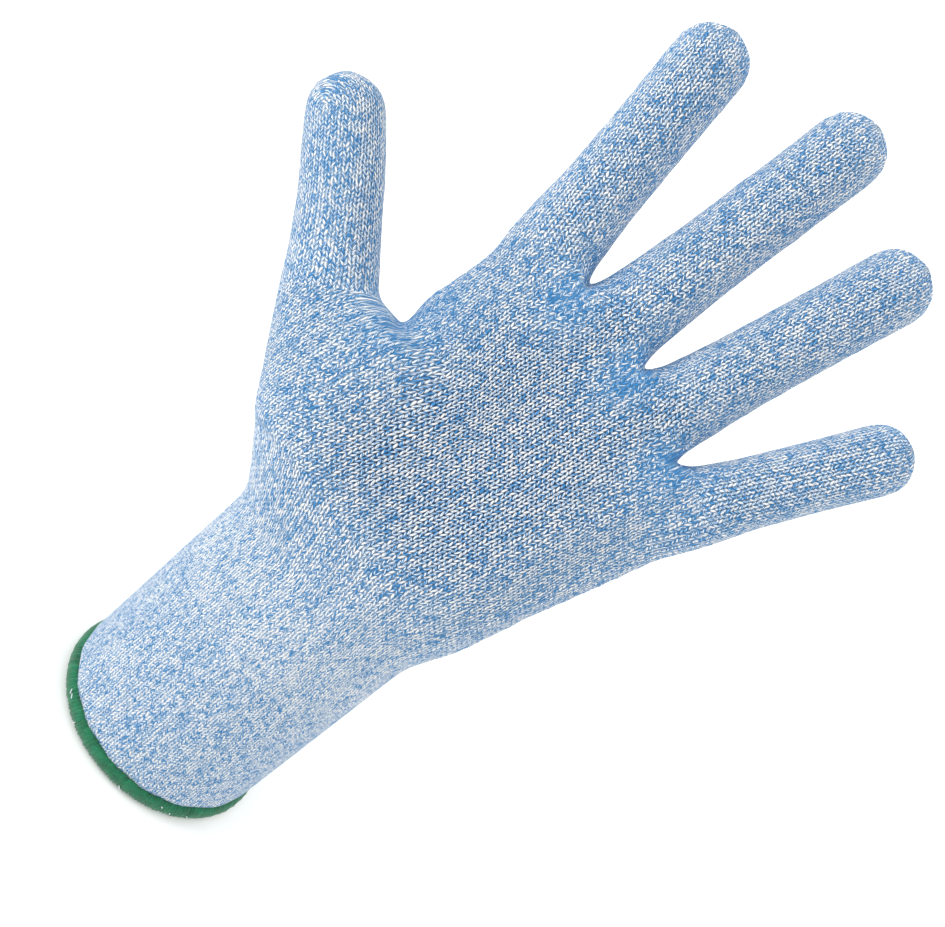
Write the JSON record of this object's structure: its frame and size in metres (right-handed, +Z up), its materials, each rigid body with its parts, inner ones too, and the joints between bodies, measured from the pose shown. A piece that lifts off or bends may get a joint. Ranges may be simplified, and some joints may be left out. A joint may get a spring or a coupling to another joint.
{
  "type": "cut resistant glove",
  "caption": "Seamless knitted cut resistant work glove, worn open on a spread hand, with a ribbed elastic cuff and an overlocked hem; wrist, knuckles and digits fold.",
  "frame": {"origin": "centre of the cuff's opening, in the plane of the hem's lower face", "axes": "+Z up the cuff from the hem towards the wrist; -Y is the palm side, which leans back at the wrist; the thumb is at -X and the little finger at +X"},
  "size_m": [0.1778, 0.135, 0.2361],
  "materials": {
    "knit_marl": "blue and white marl stockinette knit, matt",
    "rib_marl": "paler marl rib knit, matt",
    "overlock_green": "green overlock yarn, matt",
    "elastic": "covered elastic yarn"
  },
  "bodies": {
    "cuff": {"hem_overlock": "overlock_green", "cuff_rib": "rib_marl", "cuff_elastic_yarn": "elastic", "wrist_fold": "knit_marl"},
    "palm": {"palm_main": "knit_marl", "knuckle_fold_band": "knit_marl", "thumb_web": "knit_marl"},
    "knuckles": {"palm_upper": "knit_marl", "index_web": "knit_marl", "middle_root_fold": "knit_marl", "ring_web": "knit_marl", "little_web": "knit_marl"},
    "index_band": {"index_root_band": "knit_marl", "index_root_fold": "knit_marl"},
    "index_proximal": {"index_proximal_sleeve": "knit_marl", "index_pip_fold": "knit_marl"},
    "index_middle": {"index_middle_sleeve": "knit_marl", "index_dip_fold": "knit_marl"},
    "index_end": {"index_tip": "knit_marl"},
    "middle_proximal": {"middle_proximal_sleeve": "knit_marl", "middle_pip_fold": "knit_marl"},
    "middle_middle": {"middle_middle_sleeve": "knit_marl", "middle_dip_fold": "knit_marl"},
    "middle_end": {"middle_tip": "knit_marl"},
    "ring_band": {"ring_root_band": "knit_marl", "ring_root_fold": "knit_marl"},
    "ring_proximal": {"ring_proximal_sleeve": "knit_marl", "ring_pip_fold": "knit_marl"},
    "ring_middle": {"ring_middle_sleeve": "knit_marl", "ring_dip_fold": "knit_marl"},
    "ring_end": {"ring_tip": "knit_marl"},
    "little_band": {"little_root_band": "knit_marl", "little_root_fold": "knit_marl"},
    "little_proximal": {"little_proximal_sleeve": "knit_marl", "little_pip_fold": "knit_marl"},
    "little_middle": {"little_middle_sleeve": "knit_marl", "little_dip_fold": "knit_marl"},
    "little_end": {"little_tip": "knit_marl"},
    "thumb_band": {"thumb_root_band": "knit_marl", "thumb_root_fold": "knit_marl"},
    "thumb_proximal": {"thumb_proximal_sleeve": "knit_marl", "thumb_ip_fold": "knit_marl"},
    "thumb_end": {"thumb_tip": "knit_marl"}
  },
  "joints": [
    {"name": "wrist_flexion", "type": "hinge", "parent": "cuff", "child": "palm", "pos_m": [0, 0, 0.082], "axis": [1, 0, 0], "range_deg": [-20, 75], "deforming": ["wrist_fold"]},
    {"name": "knuckle_fold", "type": "hinge", "parent": "palm", "child": "knuckles", "pos_m": [0.0063, 0.04241, 0.14278], "axis": [0.9806, -0.1207, -0.1545], "range_deg": [-12, 45], "deforming": ["knuckle_fold_band"]},
    {"name": "index_swing", "type": "hinge", "parent": "knuckles", "child": "index_band", "pos_m": [-0.02786, 0.06192, 0.16126], "axis": [0, 0.788, -0.6157], "range_deg": [-6, 8], "deforming": ["index_web"]},
    {"name": "index_root", "type": "hinge", "parent": "index_band", "child": "index_proximal", "pos_m": [-0.02891, 0.06094, 0.16977], "axis": [0.9854, 0.1048, 0.1341], "range_deg": [-10, 38], "deforming": ["index_root_fold"]},
    {"name": "index_pip", "type": "hinge", "parent": "index_proximal", "child": "index_middle", "pos_m": [-0.03202, 0.07101, 0.18474], "axis": [0.9854, 0.1048, 0.1341], "range_deg": [-5, 84], "deforming": ["index_pip_fold"]},
    {"name": "index_dip", "type": "hinge", "parent": "index_middle", "child": "index_end", "pos_m": [-0.03578, 0.08103, 0.20453], "axis": [0.9854, 0.1048, 0.1341], "range_deg": [-4, 55], "deforming": ["index_dip_fold"]},
    {"name": "middle_root", "type": "hinge", "parent": "knuckles", "child": "middle_proximal", "pos_m": [-0.00157, 0.05929, 0.16765], "axis": [0.9986, -0.0322, -0.0412], "range_deg": [-10, 38], "deforming": ["middle_root_fold"]},
    {"name": "middle_pip", "type": "hinge", "parent": "middle_proximal", "child": "middle_middle", "pos_m": [-0.00014, 0.07424, 0.19069], "axis": [0.9986, -0.0322, -0.0412], "range_deg": [-5, 84], "deforming": ["middle_pip_fold"]},
    {"name": "middle_dip", "type": "hinge", "parent": "middle_middle", "child": "middle_end", "pos_m": [0.00124, 0.08563, 0.21513], "axis": [0.9986, -0.0322, -0.0412], "range_deg": [-4, 55], "deforming": ["middle_dip_fold"]},
    {"name": "ring_swing", "type": "hinge", "parent": "knuckles", "child": "ring_band", "pos_m": [0.02458, 0.0605, 0.15944], "axis": [0, -0.788, 0.6157], "range_deg": [-6, 8], "deforming": ["ring_web"]},
    {"name": "ring_root", "type": "hinge", "parent": "ring_band", "child": "ring_proximal", "pos_m": [0.02576, 0.05961, 0.16786], "axis": [0.982, -0.1164, -0.149], "range_deg": [-10, 38], "deforming": ["ring_root_fold"]},
    {"name": "ring_pip", "type": "hinge", "parent": "ring_proximal", "child": "ring_middle", "pos_m": [0.02901, 0.06859, 0.18229], "axis": [0.982, -0.1164, -0.149], "range_deg": [-5, 84], "deforming": ["ring_pip_fold"]},
    {"name": "ring_dip", "type": "hinge", "parent": "ring_middle", "child": "ring_end", "pos_m": [0.03339, 0.07771, 0.20405], "axis": [0.982, -0.1164, -0.149], "range_deg": [-4, 55], "deforming": ["ring_dip_fold"]},
    {"name": "little_swing", "type": "hinge", "parent": "knuckles", "child": "little_band", "pos_m": [0.04853, 0.05354, 0.15052], "axis": [0, -0.788, 0.6157], "range_deg": [-6, 8], "deforming": ["little_web"]},
    {"name": "little_root", "type": "hinge", "parent": "little_band", "child": "little_proximal", "pos_m": [0.05115, 0.0527, 0.15831], "axis": [0.9063, -0.2602, -0.333], "range_deg": [-10, 38], "deforming": ["little_root_fold"]},
    {"name": "little_pip", "type": "hinge", "parent": "little_proximal", "child": "little_middle", "pos_m": [0.0561, 0.0581, 0.16756], "axis": [0.9063, -0.2602, -0.333], "range_deg": [-5, 84], "deforming": ["little_pip_fold"]},
    {"name": "little_dip", "type": "hinge", "parent": "little_middle", "child": "little_end", "pos_m": [0.06301, 0.06353, 0.18212], "axis": [0.9063, -0.2602, -0.333], "range_deg": [-4, 55], "deforming": ["little_dip_fold"]},
    {"name": "thumb_swing", "type": "hinge", "parent": "palm", "child": "thumb_band", "pos_m": [-0.05798, 0.03037, 0.12087], "axis": [-0.6536, 0.0442, -0.7555], "range_deg": [-6, 8], "deforming": ["thumb_web"]},
    {"name": "thumb_root", "type": "hinge", "parent": "thumb_band", "child": "thumb_proximal", "pos_m": [-0.05751, 0.03295, 0.12981], "axis": [0.3774, 0.8844, -0.2747], "range_deg": [-8, 35], "deforming": ["thumb_root_fold"]},
    {"name": "thumb_ip", "type": "hinge", "parent": "thumb_proximal", "child": "thumb_end", "pos_m": [-0.07151, 0.04241, 0.14106], "axis": [0.3774, 0.8844, -0.2747], "range_deg": [-8, 62], "deforming": ["thumb_ip_fold"]}
  ],
  "couplings": [
    {"joint": "index_dip", "follows": "index_pip", "ratio": 0.65},
    {"joint": "middle_dip", "follows": "middle_pip", "ratio": 0.65},
    {"joint": "ring_dip", "follows": "ring_pip", "ratio": 0.65},
    {"joint": "little_dip", "follows": "little_pip", "ratio": 0.65}
  ]
}
